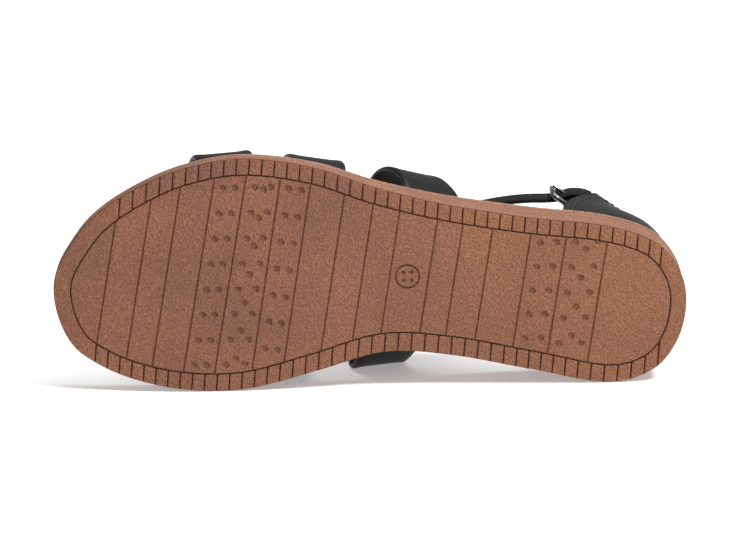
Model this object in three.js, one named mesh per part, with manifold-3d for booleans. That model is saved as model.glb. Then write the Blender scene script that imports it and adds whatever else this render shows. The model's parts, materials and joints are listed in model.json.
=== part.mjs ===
// A left gladiator sandal, 240 mm long, lying on its inner side on a flat surface. Millimetres, +Z up.
// It is modelled standing on its sole, with the toe at -X, the heel at +X and the big-toe side at +Y.
// The finished group is then rolled over until its inner sole edge and its instep strap both touch z = 0.
import * as THREE from "three";
import { mergeVertices } from "three/addons/utils/BufferGeometryUtils.js";
import Module from "manifold-3d";

// ---- driving dimensions ----
const soleLength = 240;
const gap = 0.3; // clearance between touching pieces
const toeLift = 7; // height of the toe end above the flat tread
const toeLiftLength = 70;
const foreThickness = 10.5; // outsole edge height under the ball
const heelThickness = 21.5; // outsole edge height under the heel
const wedge = { start: 66, end: 186 }; // mm from the toe end, where the edge height grows
const rim = { wall: 2.2, depth: 4.2 }; // the lip round the footbed and how far the footbed is let in
const edgeBevel = 0.6;
const rib = { pitch: 4.85, groove: 0.9, depth: 1.2, length: 6.1, slant: 0.25, overshoot: 1 };
const ribRun = { inner: { from: 16.5, to: 227 }, outer: { from: 26.5, to: 233 } };
const footbedRise = 0.6; // how far the footbed stands above the rim
const footbedBevel = 0.7;
const footStrap = { width: 22, thickness: 2, roundedEdge: 0.93 }; // roundedEdge: share of the half width kept flat
const ankleStrap = { width: 10.5, thickness: 1.8, roundedEdge: 0.88 };
const counterThickness = 2.2;
const buckle = { wire: 1.1, height: 14, corner: 2.2 }; // wire is its radius, height runs from centre to centre
const prong = { radius: 0.7, clearance: 0.32, overhang: 1 };
const tab = { thickness: 1.2, width: 9, length: 17, turn: 25, prongSlot: 3, slotShift: -0.8 };

// Sole outline: distance from the toe end, and the y of the inner and outer tread edges there.
const toeTip = 6.5;
const heelTip = 13.3;
const outlineRows = [
  { at: 6, inner: 26.3, outer: -10.3 },
  { at: 15, inner: 33.7, outer: -21.8 },
  { at: 30, inner: 40.3, outer: -32.5 },
  { at: 50, inner: 44.4, outer: -41.3 },
  { at: 73, inner: 44.3, outer: -45 },
  { at: 100, inner: 37.8, outer: -41 },
  { at: 125, inner: 31.1, outer: -32.2 },
  { at: 150, inner: 32.9, outer: -25.5 },
  { at: 180, inner: 39.1, outer: -20 },
  { at: 210, inner: 44.97, outer: -15.9 },
  { at: 228, inner: 39.8, outer: -9.5 },
  { at: 237, inner: 28, outer: 0.7 },
];

// Each strap: where its middle enters the sole on both sides, and its arch over the foot between them.
// A row holds the middle of the strap, the lean of its width from level and the turn of its width in plan.
const straps = {
  toe_strap: {
    outer: 67,
    inner: 54,
    arch: [
      { at: 65.5, y: -42.4, z: 20, lean: 4, turn: -3 },
      { at: 62.5, y: -37.5, z: 32, lean: 10, turn: -3 },
      { at: 58, y: -20, z: 40.5, lean: 17, turn: -2 },
      { at: 54.5, y: 4, z: 43.5, lean: 20, turn: 0 },
      { at: 52.5, y: 26, z: 40, lean: 17, turn: 3 },
      { at: 52, y: 38.5, z: 30.5, lean: 10, turn: 3 },
      { at: 53, y: 42, z: 19.5, lean: 4, turn: 0 },
    ],
  },
  vamp_strap: {
    outer: 102.5,
    inner: 88,
    arch: [
      { at: 101, y: -38.5, z: 24.5, lean: 8, turn: 12 },
      { at: 97.5, y: -34.4, z: 38.5, lean: 15, turn: 12 },
      { at: 91.5, y: -18, z: 50.5, lean: 23, turn: 6 },
      { at: 87, y: 5, z: 54.5, lean: 26, turn: 0 },
      { at: 84.5, y: 25, z: 50, lean: 23, turn: -4 },
      { at: 84.5, y: 37, z: 38.5, lean: 15, turn: -6 },
      { at: 86, y: 41, z: 24.5, lean: 8, turn: -8 },
    ],
  },
  instep_strap: {
    outer: 145.5,
    inner: 131.5,
    arch: [
      { at: 143.5, y: -26.9, z: 27, lean: 14, turn: 18 },
      { at: 138.5, y: -29.3, z: 38, lean: 22, turn: 19 },
      { at: 132, y: -25.5, z: 50.5, lean: 28, turn: 17 },
      { at: 125.5, y: -10.5, z: 62.5, lean: 33, turn: 8 },
      { at: 121.5, y: 10, z: 67.5, lean: 34, turn: 0 },
      { at: 119.5, y: 28, z: 61.5, lean: 32, turn: -6 },
      { at: 120.5, y: 40.3, z: 46.5, lean: 27, turn: -5 },
      { at: 122.5, y: 43.65, z: 33.5, lean: 20, turn: -1 },
      { at: 127, y: 36.6, z: 24.3, lean: 13, turn: 1 },
    ],
  },
};

// The ankle strap, from inside the inner counter wall round the front of the ankle to its tail.
// wide is the share of the full width.
const ankleRows = [
  { at: 214, y: 34.5, z: 64, lean: 86, turn: 0, wide: 1 },
  { at: 206, y: 36.6, z: 64.5, lean: 86, turn: 0, wide: 1 },
  { at: 194, y: 37, z: 67, lean: 82, turn: 0, wide: 1 },
  { at: 180, y: 34.5, z: 71.5, lean: 74, turn: 0, wide: 1 },
  { at: 165, y: 28.5, z: 77, lean: 66, turn: 0, wide: 1 },
  { at: 153.5, y: 18, z: 81.5, lean: 60, turn: 0, wide: 1 },
  { at: 149, y: 7, z: 83, lean: 60, turn: 0, wide: 1 },
  { at: 152, y: -2.3, z: 80.6, lean: 66, turn: 0, wide: 1 },
  { at: 161, y: -7.6, z: 76, lean: 76, turn: 0, wide: 1 },
  { at: 172, y: -11, z: 70.3, lean: 84, turn: 0, wide: 1 },
  { at: 183, y: -12.9, z: 65.8, lean: 89, turn: 0, wide: 1 },
  { at: 190, y: -13.2, z: 64.2, lean: 90, turn: 0, wide: 1 },
  { at: 194.5, y: -13.6, z: 64, lean: 90, turn: 0, wide: 1 },
  { at: 198.5, y: -15.1, z: 64, lean: 90, turn: 0, wide: 1 },
  { at: 203, y: -15.2, z: 64, lean: 90, turn: 0, wide: 0.95 },
  { at: 206, y: -14.7, z: 64, lean: 90, turn: 0, wide: 0.75 },
  { at: 207.5, y: -14.3, z: 64, lean: 90, turn: 0, wide: 0.3 },
];
const rearBar = new THREE.Vector3(79, -11, 64);
const frontBar = new THREE.Vector3(72.4, -15.9, 64);

// Heel counter: height above the rim, how far its middle lies inside the tread edge at the sides,
// and how much further in it lies at the very back.
const counterRows = [
  { up: -3.9, inset: 3.6, back: 0 },
  { up: 0, inset: 3.6, back: 0 },
  { up: 10, inset: 2.4, back: 0.3 },
  { up: 24, inset: 1.9, back: 1.6 },
  { up: 36, inset: 2.1, back: 3.6 },
  { up: 50, inset: 3.4, back: 6.5 },
];
const counterFront = { at: 194.5, rake: 0.0082 }; // where its front edge leaves the sole, and how it curves back
const counterTop = { front: 44, back: 51 };

const soleColour = new THREE.MeshStandardMaterial({ color: 0x97694f, roughness: 0.75, metalness: 0 });
const footbedColour = new THREE.MeshStandardMaterial({ color: 0x7a5038, roughness: 0.65, metalness: 0 });
const leatherColour = new THREE.MeshStandardMaterial({ color: 0x1c1c1e, roughness: 0.5, metalness: 0 });
const metalColour = new THREE.MeshStandardMaterial({ color: 0x55565a, roughness: 0.3, metalness: 1 });

const wasm = await Module();
wasm.setup();

// ---- shared helpers ----
const radians = THREE.MathUtils.degToRad;
const clamp01 = (v) => THREE.MathUtils.clamp(v, 0, 1);

// Value of a smooth curve through knots {t, v} in order of t; period makes it run round.
function smoothCurve(knots, t, period = 0) {
  const n = knots.length;
  const knot = (i) => {
    if (!period) return knots[THREE.MathUtils.clamp(i, 0, n - 1)];
    const turns = Math.floor(i / n);
    return { t: knots[i - turns * n].t + turns * period, v: knots[i - turns * n].v };
  };
  let i = 0;
  while (i < n - (period ? 1 : 2) && knot(i + 1).t <= t) i++;
  const [before, a, b, after] = [knot(i - 1), knot(i), knot(i + 1), knot(i + 2)];
  const span = b.t - a.t;
  const slopeA = ((b.v - before.v) / (b.t - before.t)) * span;
  const slopeB = ((after.v - a.v) / (after.t - a.t)) * span;
  const u = (t - a.t) / span;
  const u2 = u * u;
  const u3 = u2 * u;
  return (2 * u3 - 3 * u2 + 1) * a.v + (u3 - 2 * u2 + u) * slopeA + (3 * u2 - 2 * u3) * b.v + (u3 - u2) * slopeB;
}

// A closed solid skinned through rings of equal size. Each end is closed by a ladder of faces
// between point j and point n - j, so a ring may be long, thin and curved.
function loft(rings) {
  const n = rings[0].length;
  const index = [];
  for (let i = 0; i < rings.length - 1; i++) {
    for (let j = 0; j < n; j++) {
      const a = i * n + j;
      const b = i * n + ((j + 1) % n);
      index.push(a, b, b + n, a, b + n, a + n);
    }
  }
  const ladder = (start, flip) => {
    for (let j = 0; j < n / 2; j++) {
      const [a, b, c, d] = [j, j + 1, n - j - 1, (n - j) % n].map((k) => start + k);
      if (b !== c) index.push(...(flip ? [a, c, b] : [a, b, c]));
      if (a !== d) index.push(...(flip ? [a, d, c] : [a, c, d]));
    }
  };
  ladder(0, true);
  ladder((rings.length - 1) * n, false);
  const geometry = new THREE.BufferGeometry();
  geometry.setAttribute("position", new THREE.Float32BufferAttribute(rings.flat().flatMap((p) => p.toArray()), 3));
  geometry.setIndex(index);
  return faceOutwards(geometry);
}

// Turns every face of a closed geometry round if it encloses a negative volume.
function faceOutwards(geometry) {
  const p = geometry.getAttribute("position");
  const index = geometry.index;
  const [a, b, c] = [new THREE.Vector3(), new THREE.Vector3(), new THREE.Vector3()];
  let volume = 0;
  for (let i = 0; i < index.count; i += 3) {
    a.fromBufferAttribute(p, index.getX(i));
    b.fromBufferAttribute(p, index.getX(i + 1));
    c.fromBufferAttribute(p, index.getX(i + 2));
    volume += a.dot(b.cross(c));
  }
  if (volume < 0) {
    for (let i = 0; i < index.count; i += 3) {
      const second = index.getX(i + 1);
      index.setX(i + 1, index.getX(i + 2));
      index.setX(i + 2, second);
    }
  }
  return geometry;
}

function toSolid(geometry) {
  const bare = new THREE.BufferGeometry();
  bare.setAttribute("position", geometry.getAttribute("position"));
  bare.setIndex(geometry.index);
  const merged = mergeVertices(bare, 1e-4);
  return new wasm.Manifold(
    new wasm.Mesh({
      numProp: 3,
      vertProperties: new Float32Array(merged.getAttribute("position").array),
      triVerts: new Uint32Array(merged.index.array),
    }),
  );
}

function toGeometry(solid) {
  const mesh = solid.simplify(0.01).getMesh();
  const geometry = new THREE.BufferGeometry();
  geometry.setAttribute("position", new THREE.BufferAttribute(new Float32Array(mesh.vertProperties), 3));
  geometry.setIndex(new THREE.BufferAttribute(new Uint32Array(mesh.triVerts), 1));
  return geometry;
}

function named(name, geometry, material) {
  const mesh = new THREE.Mesh(geometry, material);
  mesh.name = name;
  return mesh;
}

// ---- sole form ----
const angleAt = (at) => Math.acos(1 - (2 * at) / soleLength); // from a distance along the sole to a turn round it
const outlineKnots = [
  { t: 0, v: toeTip },
  ...outlineRows.map((r) => ({ t: angleAt(r.at), v: r.inner })),
  { t: Math.PI, v: heelTip },
  ...outlineRows.toReversed().map((r) => ({ t: 2 * Math.PI - angleAt(r.at), v: r.outer })),
];

// The tread edge at an angle round the sole: 0 at the toe end, PI at the heel end, the inner side first.
function edge(angle) {
  const turn = (angle + 2 * Math.PI) % (2 * Math.PI);
  return new THREE.Vector2((-soleLength / 2) * Math.cos(turn), smoothCurve(outlineKnots, turn, 2 * Math.PI));
}

// The same, moved in from the edge.
function edgeInset(angle, inset) {
  const step = 0.01;
  const along = edge(angle + step).sub(edge(angle - step)).normalize();
  return edge(angle).add(new THREE.Vector2(along.y, -along.x).multiplyScalar(inset));
}

const ground = (x) => toeLift * clamp01((toeLiftLength - soleLength / 2 - x) / toeLiftLength) ** 2;

function edgeHeight(x) {
  const share = clamp01((x + soleLength / 2 - wedge.start) / (wedge.end - wedge.start));
  return foreThickness + (heelThickness - foreThickness) * share * share * (3 - 2 * share);
}

const rimTop = (x) => ground(x) + edgeHeight(x);

// A point at a turn round the sole, moved in from the edge and up from the rim.
function onRim(angle, inset, up) {
  const p = edgeInset(angle, inset);
  return new THREE.Vector3(p.x, p.y, rimTop(p.x) + up);
}

// A closed outline ring moved in by inset, its height given by level(x).
const outlineSteps = 52;
function soleRing(inset, level, steps = outlineSteps) {
  return Array.from({ length: 2 * steps }, (_, i) => {
    const p = edgeInset((Math.PI * i) / steps, inset);
    return new THREE.Vector3(p.x, p.y, level(p.x));
  });
}

// Positions round one side of the sole, one rib pitch apart.
function ribAngles(side) {
  const run = ribRun[side];
  const angles = [];
  const steps = 2000;
  let travelled = rib.pitch;
  let before = null;
  for (let i = 0; i <= steps; i++) {
    const inner = angleAt(run.from) + ((angleAt(run.to) - angleAt(run.from)) * i) / steps;
    const angle = side === "inner" ? inner : 2 * Math.PI - inner;
    const here = edge(angle);
    if (before) travelled += here.distanceTo(before);
    before = here;
    if (travelled >= rib.pitch) {
      angles.push(angle);
      travelled -= rib.pitch;
    }
  }
  return angles;
}

// One groove between two ribs: a bar straight across the shoe, slanted a little towards the edge's normal.
function ribGroove(angle, side) {
  const here = edge(angle);
  const inwards = edgeInset(angle, 1).sub(here);
  const straight = new THREE.Vector2(0, side === "inner" ? -1 : 1);
  const across = straight.lerp(inwards, rib.slant).normalize();
  const length = rib.length / Math.max(0.6, across.dot(inwards)) + rib.overshoot;
  const bar = new THREE.BoxGeometry(length, rib.groove, 2 * rib.depth);
  bar.rotateZ(Math.atan2(across.y, across.x));
  const middle = here.add(across.multiplyScalar(length / 2 - rib.overshoot));
  bar.translate(middle.x, middle.y, ground(middle.x));
  return toSolid(bar);
}

function makeOutsole() {
  const floor = (x) => rimTop(x) - rim.depth;
  const body = loft([
    soleRing(edgeBevel, ground),
    soleRing(0, (x) => ground(x) + edgeBevel),
    soleRing(0, (x) => rimTop(x) - edgeBevel),
    soleRing(edgeBevel, rimTop),
    soleRing(rim.wall, rimTop),
    soleRing(rim.wall, floor),
  ]);
  const grooves = ["inner", "outer"].flatMap((side) => ribAngles(side).map((angle) => ribGroove(angle, side)));
  return toGeometry(toSolid(body).subtract(wasm.Manifold.union(grooves)));
}

// ---- straps ----
const tuckRows = [
  { inset: 13, up: -2.9 },
  { inset: 8, up: -2.9 },
  { inset: 5.7, up: -2.75 },
  { inset: 4.2, up: -1.9 },
  { inset: 3.5, up: -0.6 },
  { inset: 3.3, up: 1 },
];

// Rows of a strap as functions of v, from -1 at one edge of the strap to 1 at the other.
function tuck(side, at, half, grow) {
  const angle = (v) => (side === "inner" ? angleAt(at + v * half) : 2 * Math.PI - angleAt(at + v * half));
  return tuckRows.map((row, i) => (v) => onRim(angle(v), row.inset + (i === 0 ? 2 * grow : 0), row.up));
}

function archRow(row, half) {
  const lean = radians(row.lean);
  const turn = radians(row.turn);
  const width = new THREE.Vector3(Math.cos(lean) * Math.cos(turn), Math.cos(lean) * Math.sin(turn), Math.sin(lean));
  const middle = new THREE.Vector3(row.at - soleLength / 2, row.y, row.z);
  return (v) => middle.clone().addScaledVector(width, v * half * (row.wide ?? 1));
}

// A solid of even thickness round the smooth sheet through rows; steps holds the rings in each gap between rows.
function ribbon(rows, steps, thickness, edgeShare) {
  const curves = new Map();
  const sheet = (t, v) => {
    if (!curves.has(v)) curves.set(v, new THREE.CatmullRomCurve3(rows.map((row) => row(v)), false, "centripetal"));
    return curves.get(v).getPoint(clamp01(t));
  };
  const normal = (t, v) => {
    const along = sheet(t + 1e-3, v).sub(sheet(t - 1e-3, v));
    const across = sheet(t, 1).sub(sheet(t, -1));
    return along.cross(across).normalize();
  };
  const face = [-edgeShare, -0.5, 0, 0.5, edgeShare];
  const ring = (t) => [
    sheet(t, -1),
    ...face.map((v) => sheet(t, v).addScaledVector(normal(t, v), thickness / 2)),
    sheet(t, 1),
    ...face.toReversed().map((v) => sheet(t, v).addScaledVector(normal(t, v), -thickness / 2)),
  ];
  const turns = steps.flatMap((count, i) =>
    Array.from({ length: count }, (_, k) => (i + k / count) / (rows.length - 1)),
  );
  return loft([...turns, 1].map(ring));
}

function strapRibbon(strap, grow = 0) {
  const half = footStrap.width / 2 + grow;
  const arch = strap.arch.map((row) => archRow(row, half));
  const rows = [...tuck("outer", strap.outer, half, grow), ...arch, ...tuck("inner", strap.inner, half, grow).reverse()];
  const tucked = tuckRows.map(() => 1);
  const steps = [...tucked, ...arch.slice(1).map(() => 3), ...tucked];
  steps[tucked.length - 1] = 2;
  steps[steps.length - tucked.length] = 2;
  return ribbon(rows, steps, footStrap.thickness + 2 * grow, footStrap.roundedEdge);
}

// ---- heel counter ----
function counterRibbon(grow = 0) {
  const inset = smoothCurveOf(counterRows, "inset");
  const back = smoothCurveOf(counterRows, "back");
  const columns = 30;
  const levels = [0.01, 0.1, 0.255, 0.5, 0.745, 0.99];
  const halfLength = 60; // along the edge, from the very back to one front edge
  const bottom = counterRows[0].up - 2 * grow;
  const point = (u, v, out) => {
    const top = counterTop.back - (counterTop.back - counterTop.front) * u * u;
    const up = bottom + (top - bottom) * v;
    const front = counterFront.at + counterFront.rake * Math.max(0, up) ** 2;
    const angle = Math.PI - u * (Math.PI - angleAt(front)) * (1 + grow / halfLength);
    return onRim(angle, inset(up) + back(up) * (1 - u ** 4) - out, up);
  };
  const half = counterThickness / 2 + grow;
  const rings = [];
  for (let i = 0; i <= columns; i++) {
    const u = -1 + (2 * i) / columns;
    rings.push([
      point(u, 0, 0),
      ...levels.map((v) => point(u, v, half)),
      point(u, 1, 0),
      ...levels.toReversed().map((v) => point(u, v, -half)),
    ]);
  }
  return loft(rings);
}

function smoothCurveOf(rows, column) {
  const knots = rows.map((r) => ({ t: r.up, v: r[column] }));
  return (t) => smoothCurve(knots, t);
}

// ---- footbed ----
function makeFootbed() {
  const inset = rim.wall + gap;
  const under = (x) => rimTop(x) - rim.depth + gap;
  const top = (x) => rimTop(x) + footbedRise;
  const steps = 40;
  const body = loft([
    soleRing(inset, under, steps),
    soleRing(inset, (x) => top(x) - footbedBevel, steps),
    soleRing(inset + footbedBevel, top, steps),
  ]);
  const clearances = Object.values(straps).map((strap) => toSolid(strapRibbon(strap, gap)));
  clearances.push(toSolid(counterRibbon(gap)));
  return toGeometry(toSolid(body).subtract(wasm.Manifold.union(clearances)));
}

// ---- ankle strap, buckle and tab ----
function prongPath(radius) {
  const along = frontBar.clone().sub(rearBar).normalize();
  const clear = new THREE.Vector3(-along.y, along.x, 0).multiplyScalar(buckle.wire + prong.clearance + radius);
  return new THREE.LineCurve3(rearBar.clone().add(clear), frontBar.clone().add(clear).addScaledVector(along, prong.overhang));
}

function roundSection(radius, sides = 8) {
  return new THREE.Shape(
    Array.from({ length: sides }, (_, i) => {
      const a = (2 * Math.PI * i) / sides;
      return new THREE.Vector2(radius * Math.cos(a), radius * Math.sin(a));
    }),
  );
}

function makeProng(grow = 0) {
  const radius = prong.radius + grow;
  const eye = new THREE.TorusGeometry(buckle.wire + gap + prong.radius, radius, 8, 20);
  eye.translate(...rearBar.toArray());
  const path = prongPath(prong.radius);
  const pin = new THREE.ExtrudeGeometry(roundSection(radius), { extrudePath: path, steps: 1, bevelEnabled: false });
  return toSolid(faceOutwards(indexed(eye))).add(toSolid(faceOutwards(indexed(pin))));
}

function indexed(geometry) {
  const bare = geometry.clone();
  bare.deleteAttribute("normal");
  bare.deleteAttribute("uv");
  return mergeVertices(bare, 1e-4);
}

// A round-cornered ring of wire between the two bars.
function makeBuckleFrame() {
  const along = rearBar.clone().sub(frontBar);
  const middle = rearBar.clone().add(frontBar).multiplyScalar(0.5);
  const [w, h, r] = [along.length() / 2, buckle.height / 2, buckle.corner];
  const points = [];
  for (const [cx, cz, from] of [[w - r, h - r, 0], [r - w, h - r, 90], [r - w, r - h, 180], [w - r, r - h, 270]]) {
    for (const step of [0, 45, 90]) {
      const a = radians(from + step);
      const out = along.clone().setLength(cx + r * Math.cos(a));
      points.push(middle.clone().add(out).add(new THREE.Vector3(0, 0, cz + r * Math.sin(a))));
    }
  }
  const path = new THREE.CatmullRomCurve3(points, true, "centripetal");
  return faceOutwards(indexed(new THREE.TubeGeometry(path, 32, buckle.wire, 7, true)));
}

// The folded leather tab that holds the rear bar: an eye and a flat tongue running back inside the counter.
function makeTab() {
  const hole = buckle.wire + gap;
  const outer = hole + tab.thickness;
  const start = Math.acos(0.5);
  const shape = new THREE.Shape();
  shape.absarc(0, 0, outer, start, 2 * Math.PI - start, false);
  shape.lineTo(tab.length, -tab.thickness - 0.1);
  shape.lineTo(tab.length, tab.thickness + 0.1);
  shape.closePath();
  const eye = new THREE.Path();
  eye.absarc(0, 0, hole, 0, 2 * Math.PI, true);
  shape.holes.push(eye);
  const solid = new THREE.ExtrudeGeometry(shape, { depth: tab.width, bevelEnabled: false, curveSegments: 14 });
  solid.translate(0, 0, -tab.width / 2);
  solid.rotateZ(radians(tab.turn));
  solid.translate(...rearBar.toArray());
  const slot = new THREE.BoxGeometry(2 * outer + 2, 2 * outer + 2, tab.prongSlot);
  slot.translate(rearBar.x + tab.slotShift, rearBar.y, rearBar.z);
  return toGeometry(toSolid(indexed(solid)).subtract(toSolid(slot)));
}

function makeAnkleStrap() {
  const rows = ankleRows.map((row) => archRow(row, ankleStrap.width / 2));
  const nearBuckle = 188;
  const steps = ankleRows.slice(1).map((row) => (row.at > nearBuckle ? 2 : 3));
  const band = ribbon(rows, steps, ankleStrap.thickness, ankleStrap.roundedEdge);
  return toGeometry(toSolid(band).subtract(makeProng(gap)));
}

// ---- assembly ----
const shoe = new THREE.Group();
shoe.add(named("outsole", makeOutsole(), soleColour));
shoe.add(named("footbed", makeFootbed(), footbedColour));
for (const [name, strap] of Object.entries(straps)) shoe.add(named(name, strapRibbon(strap), leatherColour));
shoe.add(named("heel_counter", counterRibbon(), leatherColour));
shoe.add(named("ankle_strap", makeAnkleStrap(), leatherColour));
shoe.add(named("buckle_tab", makeTab(), leatherColour));
shoe.add(named("buckle_frame", makeBuckleFrame(), metalColour));
shoe.add(named("buckle_prong", toGeometry(makeProng()), metalColour));

// Lays the shoe on its inner side: a quarter turn, then on until the instep strap meets the floor.
const innerEdge = Math.max(...soleRing(0, () => 0).map((p) => p.y));
function restRoll() {
  const position = shoe.getObjectByName("instep_strap").geometry.getAttribute("position");
  let roll = Infinity;
  for (let i = 0; i < position.count; i++) {
    const out = position.getY(i) - innerEdge;
    const up = position.getZ(i) - foreThickness;
    if (up > foreThickness) roll = Math.min(roll, Math.atan2(-out, up));
  }
  return roll;
}
shoe.rotation.x = -Math.PI / 2 - restRoll();

const sandal = new THREE.Group();
sandal.add(shoe);
sandal.updateMatrixWorld(true);
const box = new THREE.Box3().setFromObject(sandal, true);
const centre = box.getCenter(new THREE.Vector3());
sandal.position.set(-centre.x, -centre.y, -box.min.z);

export default sandal;
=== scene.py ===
import json
import math

import bmesh
import bpy
from mathutils import Matrix, Vector


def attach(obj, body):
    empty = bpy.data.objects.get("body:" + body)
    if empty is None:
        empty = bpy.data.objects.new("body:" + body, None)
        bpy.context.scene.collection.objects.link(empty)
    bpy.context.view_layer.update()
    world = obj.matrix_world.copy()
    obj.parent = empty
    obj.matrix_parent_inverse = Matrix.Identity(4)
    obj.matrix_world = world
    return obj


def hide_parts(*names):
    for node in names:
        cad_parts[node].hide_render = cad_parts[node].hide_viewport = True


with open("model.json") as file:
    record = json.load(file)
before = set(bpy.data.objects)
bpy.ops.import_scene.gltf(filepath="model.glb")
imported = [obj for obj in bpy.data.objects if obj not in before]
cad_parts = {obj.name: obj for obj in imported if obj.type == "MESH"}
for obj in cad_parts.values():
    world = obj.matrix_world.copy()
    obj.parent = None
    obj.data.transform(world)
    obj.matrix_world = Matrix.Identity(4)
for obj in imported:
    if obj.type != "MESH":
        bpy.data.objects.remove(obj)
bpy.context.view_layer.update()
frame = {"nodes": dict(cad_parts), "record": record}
record = frame["record"]
print("frame loaded,", len(frame["nodes"]), "nodes")

# Everything is modelled in millimetres with the shoe standing: toe at -X, big-toe side at +Y, up +Z.
# The matrix called standing then lays it on its inner side in metres, as the frame has it.
shoe = {
    "length": 240,
    "toeLift": 7,
    "toeLiftLength": 70,
    "foreHeight": 10.5,
    "heelHeight": 21.5,
    "wedgeStart": 66,
    "wedgeEnd": 186,
    "rimWall": 2.2,
    "rimDepth": 4.2,
    "toeTip": 6.5,
    "heelTip": 13.3,
}

# the tread edge: how far from the toe end, and y on the inner and outer side
outline = [
    {"at": 6, "inner": 26.3, "outer": -10.3},
    {"at": 15, "inner": 33.7, "outer": -21.8},
    {"at": 30, "inner": 40.3, "outer": -32.5},
    {"at": 50, "inner": 44.4, "outer": -41.3},
    {"at": 73, "inner": 44.3, "outer": -45},
    {"at": 100, "inner": 37.8, "outer": -41},
    {"at": 125, "inner": 31.1, "outer": -32.2},
    {"at": 150, "inner": 32.9, "outer": -25.5},
    {"at": 180, "inner": 39.1, "outer": -20},
    {"at": 210, "inner": 44.97, "outer": -15.9},
    {"at": 228, "inner": 39.8, "outer": -9.5},
    {"at": 237, "inner": 28, "outer": 0.7},
]


def shoeFrame():
    mount = next(m for m in record["mounts"] if m["name"] == "forefoot_tread")
    up = -Vector(mount["axis"])
    along = Vector((1, 0, 0))
    inner = up.cross(along)
    place = Vector(mount["pos_m"])
    turn = Matrix((along, inner, up)).transposed().to_4x4()
    return Matrix.Translation(place - along * place.x) @ turn @ Matrix.Scale(0.001, 4)


standing = shoeFrame()


def clamp(value, low=0.0, high=1.0):
    return max(low, min(high, value))


def smoothStep(value):
    share = clamp(value)
    return share * share * (3 - 2 * share)


# the way from a to b, for u from 0 to 1, with a slope at each
def between(u, a, slopeA, b, slopeB):
    return (
        (2 * u**3 - 3 * u**2 + 1) * a
        + (u**3 - 2 * u**2 + u) * slopeA
        + (3 * u**2 - 2 * u**3) * b
        + (u**3 - u**2) * slopeB
    )


# a smooth curve through (t, value) pairs; period makes it run round
def smoothCurve(knots, t, period=0):
    count = len(knots)

    def knot(i):
        if not period:
            return knots[max(0, min(count - 1, i))]
        turns, rest = divmod(i, count)
        return knots[rest][0] + turns * period, knots[rest][1]

    i = 0
    while i < count - (1 if period else 2) and knot(i + 1)[0] <= t:
        i += 1
    before, a, b, after = knot(i - 1), knot(i), knot(i + 1), knot(i + 2)
    span = b[0] - a[0]
    slopeA = (b[1] - before[1]) / (b[0] - before[0]) * span
    slopeB = (after[1] - a[1]) / (after[0] - a[0]) * span
    return between((t - a[0]) / span, a[1], slopeA, b[1], slopeB)


def turnAt(at):
    return math.acos(clamp(1 - 2 * at / shoe["length"], -1, 1))


edgeKnots = [(0, shoe["toeTip"])]
edgeKnots += [(turnAt(row["at"]), row["inner"]) for row in outline]
edgeKnots += [(math.pi, shoe["heelTip"])]
edgeKnots += [(math.tau - turnAt(row["at"]), row["outer"]) for row in reversed(outline)]


# the tread edge at a turn round the sole: 0 at the toe, pi at the heel, inner side first
def edgeAt(turn):
    turn %= math.tau
    return Vector((-shoe["length"] / 2 * math.cos(turn), smoothCurve(edgeKnots, turn, math.tau)))


def insetAt(turn, inset):
    along = (edgeAt(turn + 0.01) - edgeAt(turn - 0.01)).normalized()
    return edgeAt(turn) + Vector((along.y, -along.x)) * inset


def ground(x):
    near = clamp((shoe["toeLiftLength"] - shoe["length"] / 2 - x) / shoe["toeLiftLength"])
    return shoe["toeLift"] * near**2


def rimTop(x):
    share = (x + shoe["length"] / 2 - shoe["wedgeStart"]) / (shoe["wedgeEnd"] - shoe["wedgeStart"])
    rise = (shoe["heelHeight"] - shoe["foreHeight"]) * smoothStep(share)
    return ground(x) + shoe["foreHeight"] + rise


def onRim(turn, inset, up):
    spot = insetAt(turn, inset)
    return Vector((spot.x, spot.y, rimTop(spot.x) + up))


# mesh helpers: a ring of edges is started once, then extruded from place to place
def startRing(bm, count, place):
    spot = bm.verts.layers.int.get("spot") or bm.verts.layers.int.new("spot")
    made = bmesh.ops.create_circle(bm, segments=count, radius=1)["verts"]
    for i, v in enumerate(made):
        v[spot] = i
        v.co = place(i)
    return list({e for v in made for e in v.link_edges})


def pick(made, kind):
    return [g for g in made if isinstance(g, kind)]


def extrudeRing(bm, ring):
    made = bmesh.ops.extrude_edge_only(bm, edges=ring)["geom"]
    return pick(made, bmesh.types.BMVert), pick(made, bmesh.types.BMEdge)


def nextRing(bm, ring, place):
    spot = bm.verts.layers.int.get("spot")
    verts, edges = extrudeRing(bm, ring)
    for v in verts:
        v.co = place(v[spot])
    return edges


# cuts the faces along a plane and gives back the faces on both sides of it
def cutFaces(bm, faces, place, normal, merge):
    verts = list(dict.fromkeys(v for f in faces for v in f.verts))
    edges = list(dict.fromkeys(e for f in faces for e in f.edges))
    geometry = verts + edges + faces
    made = bmesh.ops.bisect_plane(bm, geom=geometry, dist=merge, plane_co=place, plane_no=normal)
    return pick(made["geom"], bmesh.types.BMFace)


# cuts large flat faces into strips across the length
def cutWideFaces(bm, start, end, step):
    wide = [f for f in bm.faces if len(f.verts) > 4]
    x = start
    while x < end:
        wide = cutFaces(bm, wide, (x, 0, 0), (1, 0, 0), 1e-3)
        x += step


def loft(count, places, closeEnds=True):
    bm = bmesh.new()
    first = ring = startRing(bm, count, places[0])
    for place in places[1:]:
        ring = nextRing(bm, ring, place)
    if closeEnds:
        bmesh.ops.contextual_create(bm, geom=first)
        bmesh.ops.contextual_create(bm, geom=ring)
    bmesh.ops.recalc_face_normals(bm, faces=bm.faces)
    return bm


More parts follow.
